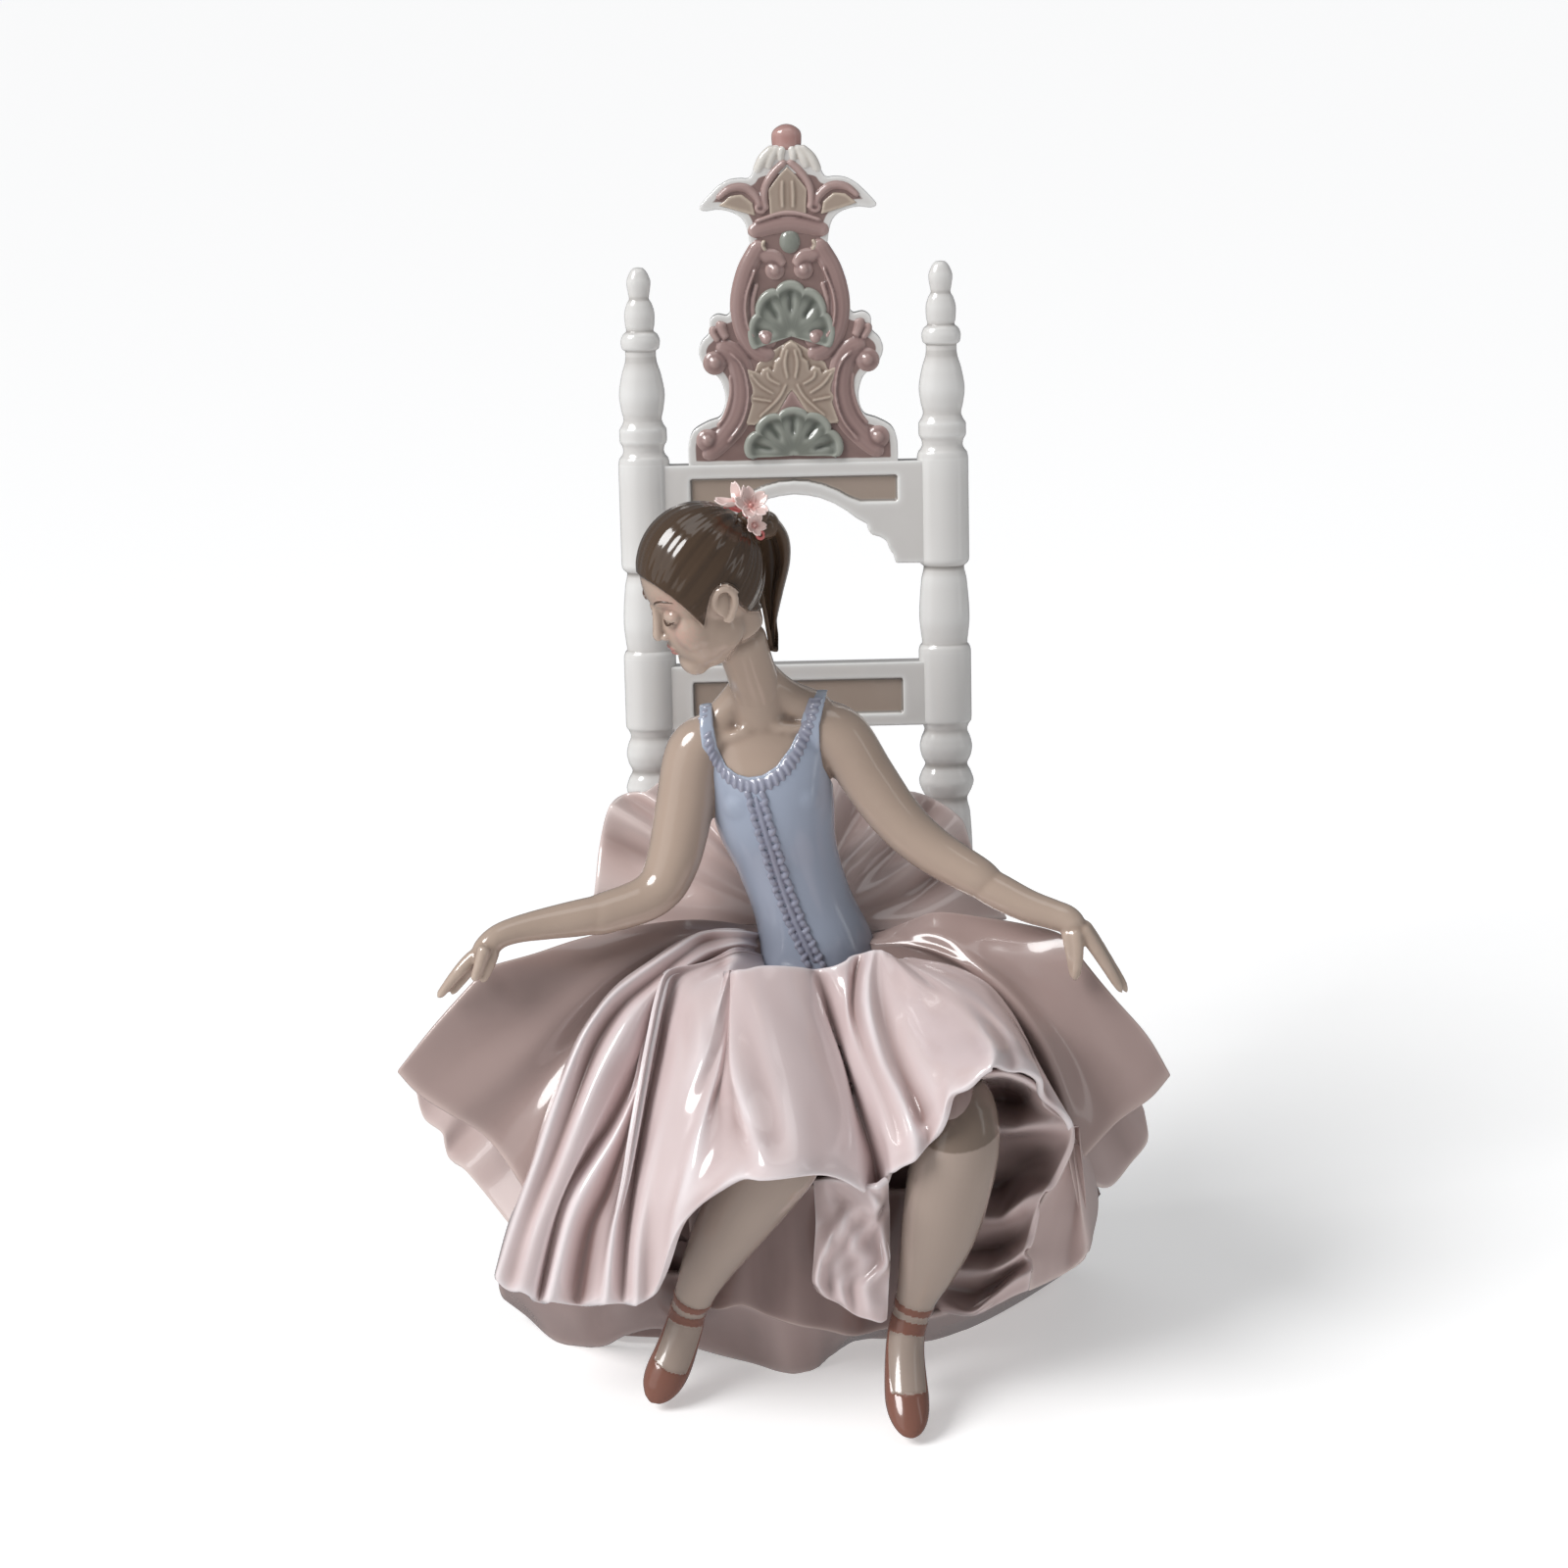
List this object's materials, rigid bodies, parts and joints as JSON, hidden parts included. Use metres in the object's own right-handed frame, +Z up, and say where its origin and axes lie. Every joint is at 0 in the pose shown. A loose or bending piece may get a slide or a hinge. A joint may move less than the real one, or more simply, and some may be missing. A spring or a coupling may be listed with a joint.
{
  "type": "porcelain ballerina figurine",
  "caption": "Glazed porcelain figurine of a seated ballerina spreading her skirt, head bowed, before a tall carved chair back with turned posts.",
  "frame": {"origin": "centre of the bounding box at the underside, on the surface the figurine stands on", "axes": "+Z up, -Y the way the figure faces, +X towards the figure's left hand"},
  "size_m": [0.2058, 0.1622, 0.3216],
  "materials": {
    "glazed_porcelain": "gloss glaze over underglaze colours: dusty pink skirt, pale blue leotard, beige skin, white chair"
  },
  "bodies": {
    "root": {"ballerina_figurine": "glazed_porcelain"}
  },
  "joints": []
}
